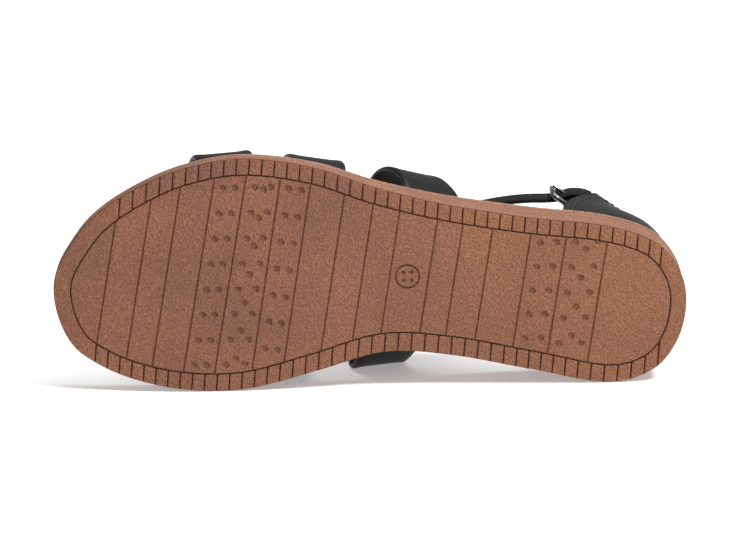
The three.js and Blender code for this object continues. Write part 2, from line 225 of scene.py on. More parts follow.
def asObject(name, bm, smoothBelow=40, place=True):
    if place:
        bm.transform(standing)
    mesh = bpy.data.meshes.new(name)
    bm.to_mesh(mesh)
    bm.free()
    mesh.shade_smooth()
    mesh.set_sharp_from_angle(angle=math.radians(smoothBelow))
    piece = bpy.data.objects.new(name, mesh)
    bpy.context.scene.collection.objects.link(piece)
    return piece


def finishPiece(piece, material, slot, *nodes):
    piece.data.materials.clear()
    piece.data.materials.append(material)
    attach(piece, "root")
    if nodes:
        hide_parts(*nodes)
    return piece


def applyModifiers(piece):
    graph = bpy.context.evaluated_depsgraph_get()
    mesh = bpy.data.meshes.new_from_object(piece.evaluated_get(graph))
    piece.modifiers.clear()
    old = piece.data
    piece.data = mesh
    bpy.data.meshes.remove(old)


# cutter's shape is taken out of the piece, and the cutter is thrown away
def carve(piece, cutter):
    cut = piece.modifiers.new("carve", "BOOLEAN")
    cut.operation = "DIFFERENCE"
    cut.solver = "EXACT"
    cut.object = cutter
    applyModifiers(piece)
    bpy.data.objects.remove(cutter)


# shader groups
def makeGroup(name, inputs, outputs):
    group = bpy.data.node_groups.new(name, "ShaderNodeTree")
    for label, kind, value in inputs:
        socket = group.interface.new_socket(label, in_out="INPUT", socket_type=kind)
        if value is not None:
            socket.default_value = value
    for label, kind in outputs:
        group.interface.new_socket(label, in_out="OUTPUT", socket_type=kind)
    return group, group.nodes.new("NodeGroupInput"), group.nodes.new("NodeGroupOutput")


def addNode(tree, kind, links=None, **settings):
    node = tree.nodes.new(kind)
    for key, value in settings.items():
        setattr(node, key, value)
    for label, source in (links or {}).items():
        socket = node.inputs[label]
        if isinstance(source, bpy.types.NodeSocket):
            tree.links.new(source, socket)
        else:
            socket.default_value = source
    return node


def mapRange(tree, value, fromLow=0.0, fromHigh=1.0, toLow=0.0, toHigh=1.0, kind="LINEAR"):
    ends = {"From Min": fromLow, "From Max": fromHigh, "To Min": toLow, "To Max": toHigh}
    return addNode(tree, "ShaderNodeMapRange", {"Value": value, **ends}, interpolation_type=kind).outputs[0]


def noise(tree, where, scale, detail):
    links = {"Vector": where, "Scale": scale, "Detail": detail}
    return addNode(tree, "ShaderNodeTexNoise", links).outputs["Fac"]


def calculate(tree, operation, a, b):
    return addNode(tree, "ShaderNodeMath", {0: a, 1: b}, operation=operation).outputs[0]


def mixColour(tree, factor, a, b):
    return addNode(tree, "ShaderNodeMix", {"Factor": factor, 6: a, 7: b}, data_type="RGBA").outputs[2]


# fine skin of leather or moulded rubber: cells for the pebbles, noise for the tooth
def makeGrainGroup():
    inputs = [
        ("Pebble Scale", "NodeSocketFloat", 900),
        ("Tooth Scale", "NodeSocketFloat", 2500),
        ("Strength", "NodeSocketFloat", 0.3),
        ("Depth", "NodeSocketFloat", 0.0002),
    ]
    outputs = [("Normal", "NodeSocketVector"), ("Height", "NodeSocketFloat")]
    group, given, out = makeGroup("fine grain", inputs, outputs)
    where = addNode(group, "ShaderNodeTexCoord")
    cells = addNode(
        group,
        "ShaderNodeTexVoronoi",
        {"Vector": where.outputs["Object"], "Scale": given.outputs["Pebble Scale"]},
        feature="SMOOTH_F1",
    )
    tooth = noise(group, where.outputs["Object"], given.outputs["Tooth Scale"], 3.0)
    both = calculate(group, "ADD", cells.outputs["Distance"], tooth)
    relief = {"Strength": given.outputs["Strength"], "Distance": given.outputs["Depth"], "Height": both}
    bump = addNode(group, "ShaderNodeBump", relief)
    group.links.new(bump.outputs["Normal"], out.inputs["Normal"])
    group.links.new(both, out.inputs["Height"])
    return group


# slow drift between two tones, with finer mottling on top
def makeDriftGroup():
    inputs = [
        ("Tone A", "NodeSocketColor", (0.5, 0.3, 0.2, 1)),
        ("Tone B", "NodeSocketColor", (0.4, 0.25, 0.2, 1)),
        ("Patch Scale", "NodeSocketFloat", 12),
        ("Mottle Scale", "NodeSocketFloat", 400),
        ("Mottle", "NodeSocketFloat", 0.15),
    ]
    outputs = [("Color", "NodeSocketColor"), ("Mask", "NodeSocketFloat")]
    group, given, out = makeGroup("tone drift", inputs, outputs)
    where = addNode(group, "ShaderNodeTexCoord")
    patches = noise(group, where.outputs["Object"], given.outputs["Patch Scale"], 4.0)
    spread = mapRange(group, patches, 0.3, 0.7)
    blend = mixColour(group, spread, given.outputs["Tone A"], given.outputs["Tone B"])
    mottles = noise(group, where.outputs["Object"], given.outputs["Mottle Scale"], 2.0)
    swing = mapRange(group, mottles, toLow=-1.0, toHigh=1.0)
    lift = calculate(group, "ADD", calculate(group, "MULTIPLY", swing, given.outputs["Mottle"]), 1.0)
    final = addNode(group, "ShaderNodeVectorMath", {0: blend, "Scale": lift}, operation="SCALE")
    group.links.new(final.outputs[0], out.inputs["Color"])
    group.links.new(spread, out.inputs["Mask"])
    return group


grainGroup = makeGrainGroup()
driftGroup = makeDriftGroup()


def useGroup(tree, group, **values):
    node = tree.nodes.new("ShaderNodeGroup")
    node.node_tree = group
    for label, value in values.items():
        node.inputs[label.replace("_", " ")].default_value = value
    return node


def newMaterial(name):
    material = bpy.data.materials.new(name)
    material.use_nodes = True
    tree = material.node_tree
    return material, tree, tree.nodes["Principled BSDF"]


def attributeOf(tree, name):
    return addNode(tree, "ShaderNodeAttribute", attribute_name=name).outputs["Fac"]


# linear colour from the 0-255 values a picture editor shows
def tone(r, g, b):
    def linear(c):
        c /= 255
        return c / 12.92 if c <= 0.04045 else ((c + 0.055) / 1.055) ** 2.4

    return linear(r), linear(g), linear(b), 1.0


soleLook = {
    "toeTone": tone(153, 102, 74),
    "toeDark": tone(128, 86, 70),
    "heelTone": tone(156, 105, 72),
    "heelDark": tone(140, 93, 66),
    "wallTone": tone(146, 98, 74),
    # the bead tone is a painted highlight
    "beadHighlightTone": tone(186, 148, 126),
    # the groove tone is painted shade
    "grooveShadeTone": tone(92, 54, 38),
    # the pit tone is painted shade
    "pitShadeTone": tone(86, 54, 42),
    "roughness": 0.66,
}


def makeSoleMaterial():
    material, tree, shader = newMaterial("sole rubber")
    look = soleLook
    fine = {"Mottle_Scale": 900, "Mottle": 0.16}
    toeTones = {"Tone_A": look["toeTone"], "Tone_B": look["toeDark"]}
    heelTones = {"Tone_A": look["heelTone"], "Tone_B": look["heelDark"]}
    toe = useGroup(tree, driftGroup, Patch_Scale=28, **toeTones, **fine)
    heel = useGroup(tree, driftGroup, Patch_Scale=24, **heelTones, **fine)
    where = addNode(tree, "ShaderNodeTexCoord")
    axes = addNode(tree, "ShaderNodeSeparateXYZ", {0: where.outputs["Object"]})
    towardHeel = mapRange(tree, axes.outputs["X"], -0.06, 0.08, kind="SMOOTHSTEP")
    tread = mixColour(tree, towardHeel, toe.outputs["Color"], heel.outputs["Color"])
    walled = mixColour(tree, attributeOf(tree, "wall"), tread, look["wallTone"])
    # painted highlight: the bead along the top of the wall is given a lighter tone
    beadHighlighted = mixColour(tree, attributeOf(tree, "bead"), walled, look["beadHighlightTone"])
    # streaks of painted highlight drawn out along the wall, in the bead's lighter tone
    longAndThin = {"Vector": where.outputs["Object"], "Scale": (30, 1500, 30)}
    drawn = addNode(tree, "ShaderNodeMapping", longAndThin)
    strong = mapRange(tree, noise(tree, drawn.outputs[0], 1.0, 2.0), 0.45, 0.75)
    onWall = calculate(tree, "MULTIPLY", strong, attributeOf(tree, "wall"))
    highlightStreaked = mixColour(tree, onWall, beadHighlighted, look["beadHighlightTone"])
    grain = useGroup(tree, grainGroup, Pebble_Scale=1250, Tooth_Scale=1300, Strength=0.9, Depth=0.0006)
    # painted shade: darker in the low pits of the grain
    pitShadeMask = mapRange(tree, grain.outputs["Height"], 1.35, 0.6, toHigh=0.62)
    pitShaded = mixColour(tree, pitShadeMask, highlightStreaked, look["pitShadeTone"])
    # painted shade: a darker tone down in the grooves
    colour = mixColour(tree, attributeOf(tree, "groove"), pitShaded, look["grooveShadeTone"])
    tree.links.new(colour, shader.inputs["Base Color"])
    tree.links.new(grain.outputs["Normal"], shader.inputs["Normal"])
    smoothest, roughest = look["roughness"] - 0.1, look["roughness"] + 0.12
    rough = mapRange(tree, grain.outputs["Height"], 0.0, 1.5, smoothest, roughest)
    tree.links.new(rough, shader.inputs["Roughness"])
    shader.inputs["Specular IOR Level"].default_value = 0.28
    return material


leatherLook = {
    "face": tone(9, 9, 10),
    "faceWorn": tone(15, 15, 17),
    "lining": tone(9, 8, 9),
    "edgeLineTone": tone(96, 94, 92),
}


def makeLeatherMaterial():
    material, tree, shader = newMaterial("black leather")
    look = leatherLook
    tones = {"Tone_A": look["face"], "Tone_B": look["faceWorn"]}
    face = useGroup(tree, driftGroup, Patch_Scale=45, Mottle_Scale=1500, Mottle=0.1, **tones)
    lining = attributeOf(tree, "lining")
    lined = mixColour(tree, lining, face.outputs["Color"], look["lining"])
    # a light grey line along one ring of the rounded edge
    colour = mixColour(tree, attributeOf(tree, "trim"), lined, look["edgeLineTone"])
    tree.links.new(colour, shader.inputs["Base Color"])
    grain = useGroup(tree, grainGroup, Pebble_Scale=1900, Tooth_Scale=4200, Strength=0.35, Depth=0.00012)
    tree.links.new(grain.outputs["Normal"], shader.inputs["Normal"])
    tree.links.new(mapRange(tree, lining, toLow=0.42, toHigh=0.78), shader.inputs["Roughness"])
    shader.inputs["Specular IOR Level"].default_value = 0.3
    return material


def makeFootbedMaterial():
    material, tree, shader = newMaterial("brown footbed leather")
    tones = {"Tone_A": tone(122, 82, 60), "Tone_B": tone(108, 70, 51)}
    drift = useGroup(tree, driftGroup, Patch_Scale=30, Mottle_Scale=1200, Mottle=0.12, **tones)
    colour = mixColour(tree, attributeOf(tree, "pressed"), drift.outputs["Color"], tone(82, 52, 38))
    tree.links.new(colour, shader.inputs["Base Color"])
    grain = useGroup(tree, grainGroup, Pebble_Scale=1300, Tooth_Scale=3000, Strength=0.3, Depth=0.00015)
    tree.links.new(grain.outputs["Normal"], shader.inputs["Normal"])
    shader.inputs["Roughness"].default_value = 0.5
    return material


def makeMetalMaterial():
    material, tree, shader = newMaterial("gunmetal")
    tones = {"Tone_A": tone(150, 148, 146), "Tone_B": tone(104, 103, 104)}
    drift = useGroup(tree, driftGroup, Patch_Scale=220, Mottle_Scale=2600, Mottle=0.12, **tones)
    tree.links.new(drift.outputs["Color"], shader.inputs["Base Color"])
    rough = mapRange(tree, drift.outputs["Mask"], toLow=0.14, toHigh=0.26)
    tree.links.new(rough, shader.inputs["Roughness"])
    shader.inputs["Metallic"].default_value = 1
    return material


def makeThreadMaterial():
    material, tree, shader = newMaterial("thread")
    tones = {"Tone_A": tone(70, 70, 72), "Tone_B": tone(48, 48, 50)}
    drift = useGroup(tree, driftGroup, Patch_Scale=600, Mottle_Scale=5000, Mottle=0.3, **tones)
    tree.links.new(drift.outputs["Color"], shader.inputs["Base Color"])
    grain = useGroup(tree, grainGroup, Pebble_Scale=6000, Tooth_Scale=9000, Strength=0.5, Depth=0.0001)
    tree.links.new(grain.outputs["Normal"], shader.inputs["Normal"])
    shader.inputs["Roughness"].default_value = 0.7
    return material


soleRubber = makeSoleMaterial()
blackLeather = makeLeatherMaterial()
footbedLeather = makeFootbedMaterial()
gunmetal = makeMetalMaterial()
thread = makeThreadMaterial()
print("materials made")

# outsole
sole = {
    "points": 420,
    "floorDepth": 0.95,  # how deep the grooves round the ribs go
    "wallInset": 0.25,
    "beadHeight": 1.6,
    "borderGroove": 0.42,
    "padEdge": 0.2,
    "padRounding": [(0, 0.45), (0.12, 0.16), (0.4, 0)],  # in from the edge, and up from the tread
    "cornerRadius": 0.5,
    "padDepth": 1.5,
    "plankGroove": 0.95,
    "plankDepth": 0.62,
    "plankBar": 120,  # long enough to cross the sole
    "plankLean": {"toe": 0.188, "heel": 0.173, "change": 75},
    "ribGrooves": {"inner": 45, "outer": 44},
    "ribGroove": 0.42,
    "ribLean": 0.1,
    "ribMiddle": 3,  # in from the edge, and how far faces may be from there to be cut
    "ribReach": 9,
    "ribPlaces": {  # (which groove, how far from the toe end)
        "inner": [(0, 15), (4, 33.1), (10, 60.9), (16, 89.8), (22, 120), (32, 170), (38, 198), (44, 228.6)],
        "outer": [(0, 26.9), (5, 52.3), (18, 113.9), (32, 179.4), (41, 221.8), (44, 235.2)],
    },
    "bendStep": 2.5,
    "capStep": 6,
}
plankLines = [20.6, 32.8, 43.1, 55.4, 67.3, 80.9, 92.6, 106]
plankLines += [117.4, 127.8, 142.6, 152.5, 164, 178.8, 192.4, 208.2]
plankLevel = 1.0  # y where the lines' distances from the toe end are measured


# how far in from the edge the border groove runs, all the way round
randWidths = [(0, 6.7), (0.7, 6.9), (1.2, 6.9), (1.7, 7.4), (2.2, 7.2), (2.7, 6.4)]
randWidths += [(math.pi, 6.1), (3.6, 5.9), (4.2, 6.0), (4.7, 6.1), (5.4, 6.2), (5.9, 6.7)]


def randWidth(turn):
    return smoothCurve(randWidths, turn % math.tau, math.tau)


def soleTurn(i):
    return math.tau * i / sole["points"]


def soleRing(inset, height):
    def place(i):
        spot = insetAt(soleTurn(i), inset)
        return Vector((spot.x, spot.y, height(spot.x)))

    return place


# a flat ring beside the border groove
def borderRing(side):
    def place(i):
        spot = insetAt(soleTurn(i), randWidth(soleTurn(i)) + side * sole["borderGroove"] / 2)
        return Vector((spot.x, spot.y, 0))

    return place


def setPointValue(bm, name, value):
    layer = bm.verts.layers.float.get(name) or bm.verts.layers.float.new(name)
    for v in bm.verts:
        v[layer] = value(v)


# cuts across the length so that the toe end can bend
def cutForBend(bm):
    x = -shoe["length"] / 2 + sole["bendStep"]
    while x < shoe["toeLiftLength"] - shoe["length"] / 2:
        cutFaces(bm, bm.faces[:], (x, 0, 0), (1, 0, 0), 1e-4)
        x += sole["bendStep"]


def bendUp(bm):
    for v in bm.verts:
        v.co.z += ground(v.co.x)


def makeSoleBody():
    bead, wall = sole["beadHeight"], sole["wallInset"]

    # inset from the edge, and height below the rim
    def under(inset, drop):
        return soleRing(inset, lambda x: rimTop(x) - drop)

    rings = [
        soleRing(0.1, lambda x: ground(x) + sole["floorDepth"]),
        soleRing(0.03, lambda x: ground(x) + sole["floorDepth"] + 0.15),
        soleRing(0.1, lambda x: ground(x) + 2.6),
        under(wall * 0.8, 3.9),
        under(wall, bead + 1.5),
        under(wall * 0.4, bead + 1.25),
        under(wall * 0.4, bead + 0.65),
        under(wall * 1.7, bead + 0.45),
        under(wall * 1.6, bead + 0.15),
        under(0.05, bead - 0.05),
        under(0, bead - 0.5),
        under(0.02, 0.75),
        under(0.16, 0.35),
        under(0.4, 0.08),
        under(0.8, 0),
        under(shoe["rimWall"] - 0.5, 0),
        under(shoe["rimWall"] - 0.1, 0.2),
        under(shoe["rimWall"], 0.6),
        under(shoe["rimWall"], shoe["rimDepth"]),
    ]
    bm = loft(sole["points"], rings, closeEnds=False)
    openEdges = [e for e in bm.edges if e.is_boundary]
    bmesh.ops.holes_fill(bm, edges=openEdges, sides=0)
    cutWideFaces(bm, 1 - shoe["length"] / 2, shoe["length"] / 2, sole["capStep"])
    bmesh.ops.recalc_face_normals(bm, faces=bm.faces)
    deep = sole["floorDepth"]
    setPointValue(bm, "wall", lambda v: smoothStep((v.co.z - ground(v.co.x) - deep) / 2))
    # where the bead's painted highlight goes
    setPointValue(bm, "bead", lambda v: smoothStep((v.co.z - rimTop(v.co.x) + bead + 0.2) / 0.4))
    # painted shade on the floor of the grooves round the ribs
    setPointValue(bm, "groove", lambda v: 1 - smoothStep((v.co.z - ground(v.co.x) - deep - 0.05) / 0.2))
    return bm


# the turns of the grooves on one side
def ribTurns(side):
    turns = [turnAt(smoothCurve(sole["ribPlaces"][side], i)) for i in range(sole["ribGrooves"][side])]
    return turns if side == "inner" else [math.tau - turn for turn in turns]


# takes a straight strip of a width out of flat faces near its middle
def cutStrip(bm, middle, across, width, reach):
    normal = Vector((-across.y, across.x, 0)).normalized()
    centre = Vector((middle.x, middle.y, 0))
    near = [f for f in bm.faces if (f.calc_center_median() - centre).length < reach]
    for side in (-0.5, 0.5):
        near = cutFaces(bm, near, centre + normal * width * side, normal, 1e-4)
    inside = [f for f in near if abs((f.calc_center_median() - centre).dot(normal)) < width / 2 - 1e-3]
    bmesh.ops.delete(bm, geom=inside, context="FACES")


# a closed outline with an arc in place of each sharp corner
def roundCorners(outline, radius):
    outline = [p for i, p in enumerate(outline) if (p - outline[i - 1]).length > 0.08]
    count = len(outline)
    steps = [outline[(i + 1) % count] - outline[i] for i in range(count)]
    along = [sum(step.length for step in steps[:i]) for i in range(count + 1)]
    total = along[-1]

    def pointAt(distance):
        distance %= total
        i = max(k for k in range(count) if along[k] <= distance)
        return outline[i] + steps[i].normalized() * (distance - along[i])

    bends = {i: steps[i - 1].angle(steps[i]) for i in range(count)}
    reach = {i: radius * math.tan(bend / 2) for i, bend in bends.items() if bend > 0.6}
    rounded = []
    for i in range(count):
        if i in reach:
            before, after = pointAt(along[i] - reach[i]), pointAt(along[i] + reach[i])
            inward = ((before + after) / 2 - outline[i]).normalized()
            centre = outline[i] + inward * radius / math.cos(bends[i] / 2)
            for t in (0, 0.25, 0.5, 0.75, 1):
                way = (before - centre).normalized().slerp((after - centre).normalized(), t)
                rounded.append(centre + way * radius)
            continue
        gaps = [abs((along[i] - along[k] + total / 2) % total - total / 2) - reach[k] for k in reach]
        if min(gaps, default=1) > 0.05:
            rounded.append(outline[i])
    return rounded


# one pad: its outline drawn in and down in the steps of padRounding
def addPad(bm, outline):
    count = len(outline)
    area = sum(outline[i - 1].cross(outline[i]).z for i in range(count))
    inwards = []
    for i in range(count):
        along = (outline[(i + 1) % count] - outline[i - 1]).normalized()
        inwards.append(Vector((-along.y, along.x, 0)) * math.copysign(1, area))

    def level(inset, height):
        return lambda i: outline[i] + inwards[i] * inset + Vector((0, 0, height))

    first = ring = startRing(bm, count, level(0, sole["padDepth"]))
    for inset, height in sole["padRounding"]:
        ring = nextRing(bm, ring, level(inset, height))
    bmesh.ops.contextual_create(bm, geom=first)
    bmesh.ops.contextual_create(bm, geom=ring)


def makeRibPads():
    plan = bmesh.new()
    ring = startRing(plan, sole["points"], soleRing(sole["padEdge"], lambda x: 0.0))
    nextRing(plan, ring, borderRing(-1))
    for side in ("inner", "outer"):
        for turn in ribTurns(side):
            across = Vector((-sole["ribLean"], 1)).normalized() * (-1 if side == "inner" else 1)
            middle = edgeAt(turn) + across * sole["ribMiddle"]
            cutStrip(plan, middle, across, sole["ribGroove"], sole["ribReach"])
    bmesh.ops.dissolve_limit(plan, angle_limit=math.radians(0.5), verts=plan.verts, edges=plan.edges)
    outlines = [[v.co.copy() for v in f.verts] for f in plan.faces]
    plan.free()
    bm = bmesh.new()
    for outline in outlines:
        addPad(bm, roundCorners(outline, sole["cornerRadius"]))
    bmesh.ops.recalc_face_normals(bm, faces=bm.faces)
    return bm


def makePanelPads():
    edge = borderRing(1)
    bm = bmesh.new()
    addPad(bm, [edge(i) for i in range(sole["points"])])
    bmesh.ops.recalc_face_normals(bm, faces=bm.faces)
    return bm


# round hollows: columns of them between the plank lines, each row a pitch apart
dimple = {"radius": 1.5, "floorRadius": 1.05, "depth": 0.6, "sides": 20}
dimpleColumns = [
    {"at": 59.2, "from": -34.1, "pitch": 9.8, "count": 8},
    {"at": 63.8, "from": -34.1, "pitch": 9.8, "count": 8},
    {"at": 71.2, "from": -34.1, "pitch": 9.8, "count": 8},
    {"at": 74.5, "from": -33.2, "pitch": 10.9, "count": 7},
    {"at": 77.8, "from": -34.1, "pitch": 9.8, "count": 8},
    {"at": 84.6, "from": -33.4, "pitch": 10.3, "count": 7},
    {"at": 89.4, "from": -32.6, "pitch": 10.3, "count": 7},
    {"at": 182.9, "from": -10.2, "pitch": 9.3, "count": 5},
    {"at": 189.0, "from": -10.2, "pitch": 9.3, "count": 5},
    {"at": 196.2, "from": -10.2, "pitch": 9.85, "count": 5},
    {"at": 200.4, "from": -7.4, "pitch": 11.2, "count": 4},
    {"at": 204.6, "from": -10.2, "pitch": 9.85, "count": 5},
]
# a ring with four small hollows in it
sizeRing = {"at": 134.5, "y": 1.6, "outer": 4.8, "line": 0.75, "depth": 0.5}
sizeRing |= {"pipSpread": 1.5, "pipRadius": 0.85, "pipFloor": 0.7}


def addDimple(bm, x, y, radius, floorRadius, depth):
    bmesh.ops.create_cone(
        bm,
        cap_ends=True,
        segments=dimple["sides"],
        radius1=2 * radius - floorRadius,  # so that it is the full radius at the tread
        radius2=floorRadius,
        depth=2 * depth,
        matrix=Matrix.Translation((x, y, 0)),
    )


def plankLean(at):
    return sole["plankLean"]["toe" if at < sole["plankLean"]["change"] else "heel"]


# a bar with a square section standing on its corner, so it cuts a V
def addPlankGroove(bm, at):
    middle = Vector((at - shoe["length"] / 2, plankLevel, 0))
    turn = Matrix.Rotation(math.atan(plankLean(at)), 4, "Z")
    size = Matrix.Diagonal((sole["plankGroove"], sole["plankBar"], 2 * sole["plankDepth"], 1))
    corner = Matrix.Rotation(math.radians(45), 4, "Y") @ Matrix.Scale(math.sqrt(0.5), 4)
    bmesh.ops.create_cube(bm, size=1, matrix=Matrix.Translation(middle) @ turn @ size @ corner)


def makeHollows():
    bm = bmesh.new()
    for column in dimpleColumns:
        for row in range(column["count"]):
            y = column["from"] + row * column["pitch"]
            x = column["at"] - shoe["length"] / 2 - plankLean(column["at"]) * (y - plankLevel)
            addDimple(bm, x, y, dimple["radius"], dimple["floorRadius"], dimple["depth"])
    middle = Vector((sizeRing["at"] - shoe["length"] / 2, sizeRing["y"], 0))
    reach, line, deep = sizeRing["outer"], sizeRing["line"], sizeRing["depth"]
    corners = [(reach - line, -1), (reach, -1), (reach, deep), (reach - line, deep)]
    profile = [bm.verts.new(middle + Vector((r, 0, z))) for r, z in corners]
    loop = [bm.edges.new((profile[i], profile[(i + 1) % 4])) for i in range(4)]
    bmesh.ops.spin(
        bm, geom=profile + loop, cent=middle, axis=(0, 0, 1), angle=math.tau, steps=40, use_merge=True
    )
    spread, pip = sizeRing["pipSpread"], sizeRing["pipRadius"]
    for side in (-1, 1):
        for end in (-1, 1):
            x, y = middle.x + side * spread, middle.y + end * spread
            addDimple(bm, x, y, pip, pip * sizeRing["pipFloor"], deep)
    for at in plankLines:
        addPlankGroove(bm, at)
    bmesh.ops.recalc_face_normals(bm, faces=bm.faces)
    return bm


def makeOutsole():
    panels = asObject("panel_pads", makePanelPads(), place=False)
    carve(panels, asObject("hollows", makeHollows(), place=False))
    pads = makeRibPads()
    pads.from_mesh(panels.data)
    bpy.data.objects.remove(panels)
    cutForBend(pads)
    bendUp(pads)
    setPointValue(pads, "wall", lambda v: 0.0)
    setPointValue(pads, "bead", lambda v: 0.0)
    # painted shade on the pad sides that go down into the grooves
    setPointValue(pads, "groove", lambda v: 0.6 * smoothStep((v.co.z - ground(v.co.x) - 0.3) / 0.3))
    # painted shade: the floors of the hollows get only a little of it, so they stay near the tone of the
    # tread
    hollow = 0.45 * dimple["depth"]
    groove = pads.verts.layers.float["groove"]
    for v in pads.verts:  # the hollows keep the tone of the tread
        if abs(v.co.z - ground(v.co.x) - dimple["depth"]) < 0.002:
            v[groove] = hollow
    body = makeSoleBody()
    padMesh = bpy.data.meshes.new("pads")
    pads.to_mesh(padMesh)
    pads.free()
    body.from_mesh(padMesh)
    bpy.data.meshes.remove(padMesh)
    piece = asObject("outsole_rubber", body, smoothBelow=35)
    shine = piece.modifiers.new("even shading", "WEIGHTED_NORMAL")
    shine.keep_sharp = True
    return finishPiece(piece, soleRubber, "sole", "outsole")


makeOutsole()
print("outsole made")

# straps: where each enters the sole and its arch over the foot
strapShape = {"width": 22, "thickness": 2.0, "puff": 0.16, "step": 1.6}
toeStrap = {
    "outer": 67,
    "inner": 54,
    "arch": [
        {"at": 65.5, "y": -42.4, "z": 20, "lean": 4, "turn": -3},
        {"at": 62.5, "y": -37.5, "z": 32, "lean": 10, "turn": -3},
        {"at": 58, "y": -20, "z": 40.5, "lean": 17, "turn": -2},
        {"at": 54.5, "y": 4, "z": 43.5, "lean": 20, "turn": 0},
        {"at": 52.5, "y": 26, "z": 40, "lean": 17, "turn": 3},
        {"at": 52, "y": 38.5, "z": 30.5, "lean": 10, "turn": 3},
        {"at": 53, "y": 42, "z": 19.5, "lean": 4, "turn": 0},
    ],
}
vampStrap = {
    "outer": 102.5,
    "inner": 88,
    "arch": [
        {"at": 101, "y": -38.5, "z": 24.5, "lean": 8, "turn": 12},
        {"at": 97.5, "y": -34.4, "z": 38.5, "lean": 15, "turn": 12},
        {"at": 91.5, "y": -18, "z": 50.5, "lean": 23, "turn": 6},
        {"at": 87, "y": 5, "z": 54.5, "lean": 26, "turn": 0},
        {"at": 84.5, "y": 25, "z": 50, "lean": 23, "turn": -4},
        {"at": 84.5, "y": 37, "z": 38.5, "lean": 15, "turn": -6},
        {"at": 86, "y": 41, "z": 24.5, "lean": 8, "turn": -8},
    ],
}
instepStrap = {
    "outer": 145.5,
    "inner": 131.5,
    "arch": [
        {"at": 143.5, "y": -26.9, "z": 27, "lean": 14, "turn": 18},
        {"at": 138.5, "y": -29.3, "z": 38, "lean": 22, "turn": 19},
        {"at": 132, "y": -25.5, "z": 50.5, "lean": 28, "turn": 17},
        {"at": 125.5, "y": -10.5, "z": 62.5, "lean": 33, "turn": 8},
        {"at": 121.5, "y": 10, "z": 67.5, "lean": 34, "turn": 0},
        {"at": 119.5, "y": 28, "z": 61.5, "lean": 32, "turn": -6},
        {"at": 120.5, "y": 40.3, "z": 46.5, "lean": 27, "turn": -5},
        {"at": 122.5, "y": 43.65, "z": 33.5, "lean": 20, "turn": -1},
        {"at": 127, "y": 36.6, "z": 24.3, "lean": 13, "turn": 1},
    ],
}
tucked = [
    {"inset": 13, "up": -2.9},
    {"inset": 8, "up": -2.9},
    {"inset": 5.7, "up": -2.75},
    {"inset": 4.2, "up": -1.9},
    {"inset": 3.5, "up": -0.6},
    {"inset": 3.3, "up": 1},
]


# a curve through points that keeps tight where the points are close; t runs from 0 to 1
def curveAt(points, t):
    last = len(points) - 1
    i = min(int(clamp(t) * last), last - 1)
    u = clamp(t) * last - i
    p1, p2 = points[i], points[i + 1]
    p0 = points[i - 1] if i > 0 else 2 * p1 - p2
    p3 = points[i + 2] if i + 2 <= last else 2 * p2 - p1
    d0, d1, d2 = (max((b - a).length ** 0.5, 1e-4) for a, b in ((p0, p1), (p1, p2), (p2, p3)))
    m1 = ((p1 - p0) / d0 - (p2 - p0) / (d0 + d1) + (p2 - p1) / d1) * d1
    m2 = ((p2 - p1) / d1 - (p3 - p1) / (d1 + d2) + (p3 - p2) / d2) * d1
    return between(u, p1, m1, p2, m2)


def tuckRow(side, at, half, row, extra=0.0):
    def point(v):
        turn = turnAt(at + v * half)
        return onRim(turn if side == "inner" else math.tau - turn, row["inset"] + extra, row["up"])

    return point


def archRow(row, half):
    lean, turn = math.radians(row["lean"]), math.radians(row.get("turn", 0))
    width = Vector((math.cos(lean) * math.cos(turn), math.cos(lean) * math.sin(turn), math.sin(lean)))
    middle = Vector((row["at"] - shoe["length"] / 2, row["y"], row["z"]))
    return lambda v: middle + width * v * half * row.get("wide", 1)


class Sheet:
    def __init__(self, rows):
        self.rows = rows
        self.columns = {}

    def at(self, t, v):
        if v not in self.columns:
            self.columns[v] = [row(v) for row in self.rows]
        return curveAt(self.columns[v], t)

    def normal(self, t, v):
        along = self.at(t + 1e-3, v) - self.at(t - 1e-3, v)
        across = self.at(t, 1) - self.at(t, -1)
        return along.cross(across).normalized()


def strapSheet(strap, grow=0.0):
    half = strapShape["width"] / 2 + grow
    rows = [tuckRow("outer", strap["outer"], half, row) for row in tucked]
    rows += [archRow(row, half) for row in strap["arch"]]
    rows += [tuckRow("inner", strap["inner"], half, row) for row in reversed(tucked)]
    return Sheet(rows)


# section of a band: (v, share of half thickness, is it the lining side, is it on the light line along the
# edge)
def bandSection(half, thickness, puff):
    edgeShare = thickness / 2 / half
    section = []
    firm = 1 - 2.6 * edgeShare  # the padding starts inside the edge
    flats = [edgeShare - 1, -firm, -0.6, -0.3, 0, 0.3, 0.6, firm, 1 - edgeShare]
    for v in flats:
        swell = puff if abs(v) > 0.7 else 0.0
        section.append((v, -1 - swell, 0.0, 0.0))
    for angle in (-60, -30, 0, 30, 60):
        a = math.radians(angle)
        outwards = 1 - edgeShare + edgeShare * math.cos(a)
        section.append((outwards, math.sin(a), float(angle > 0), float(angle == 30)))
    for v in reversed(flats):
        section.append((v, 1.0, 1.0, 0.0))
    for angle in (60, 30, 0, -30, -60):
        a = math.radians(angle)
        outwards = edgeShare - 1 - edgeShare * math.cos(a)
        section.append((outwards, math.sin(a), float(angle > 0), float(angle == 30)))
    return section


def bandMesh(sheet, stations, half, thickness, puff):
    section = bandSection(half, thickness, puff)

    def place(t):
        def put(i):
            v, share = section[i][:2]
            return sheet.at(t, v) + sheet.normal(t, v) * share * thickness / 2

        return put

    bm = loft(len(section), [place(t) for t in stations])
    spot = bm.verts.layers.int["spot"]
    setPointValue(bm, "lining", lambda v: section[v[spot]][2])
    setPointValue(bm, "trim", lambda v: section[v[spot]][3])
    return bm


